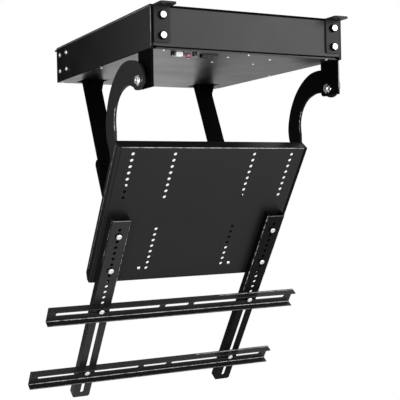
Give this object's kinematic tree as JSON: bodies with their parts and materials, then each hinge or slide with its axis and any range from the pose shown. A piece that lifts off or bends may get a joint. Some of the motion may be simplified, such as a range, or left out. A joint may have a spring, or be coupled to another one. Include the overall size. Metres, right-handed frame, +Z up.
{
  "type": "motorized television ceiling mount",
  "caption": "Ceiling box with a screw drive that folds down a tilted television frame on gooseneck arms and folding stays.",
  "frame": {"origin": "centre of the four ceiling screws, on the ceiling plane", "axes": "+Z up into the ceiling, -Y towards the viewer of the folded-down screen, +X to the right"},
  "size_m": [0.669, 0.656, 0.8753],
  "materials": {
    "housing_coat": "satin black powder coat",
    "bracket_coat": "satin black powder coat",
    "frame_coat": "satin black powder coat",
    "stay_coat": "satin black powder coat",
    "zinc_fastener": "bright zinc plate",
    "bright_steel": "ground steel",
    "carriage_alloy": "die cast",
    "motor_steel": "black enamel",
    "nut_bronze": "turned bronze",
    "black_plastic": "moulded",
    "white_plastic": "moulded",
    "red_plastic": "moulded"
  },
  "bodies": {
    "housing": {"top_pan": "housing_coat", "side_plate_left": "housing_coat", "side_plate_right": "housing_coat", "front_fascia": "housing_coat", "rear_panel": "housing_coat", "bottom_cover": "housing_coat", "corner_angles": "housing_coat", "ceiling_bracket_front_left": "bracket_coat", "ceiling_bracket_front_right": "bracket_coat", "ceiling_bracket_rear_left": "bracket_coat", "ceiling_bracket_rear_right": "bracket_coat", "bracket_bolts_front": "zinc_fastener", "bracket_bolts_rear": "zinc_fastener", "side_screws": "zinc_fastener", "cover_screws": "zinc_fastener", "pivot_bracket_left": "bracket_coat", "pivot_bracket_right": "bracket_coat", "pivot_bolts": "zinc_fastener", "pivot_spacers": "bright_steel", "shaft_hangers": "bracket_coat", "screw_bearing_front": "bracket_coat", "screw_bearing_rear": "bracket_coat", "guide_rods": "bright_steel", "gearbox": "carriage_alloy", "drive_motor": "motor_steel", "motor_mount": "bracket_coat", "control_box": "black_plastic", "power_supply": "black_plastic", "power_inlet": "black_plastic", "signal_socket": "white_plastic", "sensor_socket": "black_plastic", "limit_switches": "black_plastic"},
    "stay_crank": {"stay_shaft": "bright_steel", "crank_arms": "bracket_coat", "upper_stay_left": "stay_coat", "upper_stay_right": "stay_coat"},
    "carriage": {"drive_carriage": "carriage_alloy", "drive_nut": "nut_bronze", "trunnion_pins": "bright_steel"},
    "screw": {"lead_screw": "bright_steel", "shaft_coupling": "bright_steel", "output_shaft": "bright_steel"},
    "lower_link_left": {"lower_stay_left": "stay_coat", "knee_bolts_left": "stay_coat"},
    "lower_link_right": {"lower_stay_right": "stay_coat", "knee_bolts_right": "stay_coat"},
    "tv_frame": {"gooseneck_arm_left": "frame_coat", "gooseneck_arm_right": "frame_coat", "tv_tray": "frame_coat", "stay_clevis_left": "stay_coat", "stay_clevis_right": "stay_coat", "clevis_pins": "zinc_fastener", "tray_screws": "zinc_fastener", "tv_bracket_left": "frame_coat", "tv_bracket_right": "frame_coat", "tv_bracket_bolts": "zinc_fastener", "cross_rail_upper": "frame_coat", "cross_rail_lower": "frame_coat", "rail_bolts": "zinc_fastener"},
    "button": {"pairing_button": "red_plastic"}
  },
  "joints": [
    {"name": "tv_fold", "type": "hinge", "parent": "housing", "child": "tv_frame", "pos_m": [0, -0.248, -0.145], "axis": [1, 0, 0], "range_deg": [0, 56.2]},
    {"name": "stay_turn", "type": "hinge", "parent": "housing", "child": "stay_crank", "pos_m": [0, 0.21575, -0.078], "axis": [1, 0, 0], "range_deg": [-64, 0]},
    {"name": "lower_stay_left_turn", "type": "hinge", "parent": "tv_frame", "child": "lower_link_left", "pos_m": [-0.156, 0.03406, -0.48946], "axis": [1, 0, 0], "range_deg": [0, 61.8]},
    {"name": "lower_stay_right_turn", "type": "hinge", "parent": "tv_frame", "child": "lower_link_right", "pos_m": [0.156, 0.03406, -0.48946], "axis": [1, 0, 0], "range_deg": [0, 61.8]},
    {"name": "carriage_slide", "type": "slide", "parent": "housing", "child": "carriage", "axis": [0, 1, 0], "range_m": [0, 0.0563]},
    {"name": "screw_spin", "type": "hinge", "parent": "housing", "child": "screw", "pos_m": [0, 0.11, -0.033], "axis": [0, 1, 0], "range_deg": [-5066, 0]},
    {"name": "button_press", "type": "slide", "parent": "housing", "child": "button", "axis": [0, 0, 1], "range_m": [0, 0.001], "stiffness_N_per_m": 400}
  ],
  "couplings": [
    {"joint": "stay_turn", "follows": "tv_fold", "ratio": -1.138},
    {"joint": "lower_stay_left_turn", "follows": "tv_fold", "ratio": 1.0958},
    {"joint": "lower_stay_right_turn", "follows": "tv_fold", "ratio": 1.0958},
    {"joint": "carriage_slide", "follows": "tv_fold", "m_per_rad": 0.057294},
    {"joint": "screw_spin", "follows": "tv_fold", "ratio": -89.997}
  ]
}
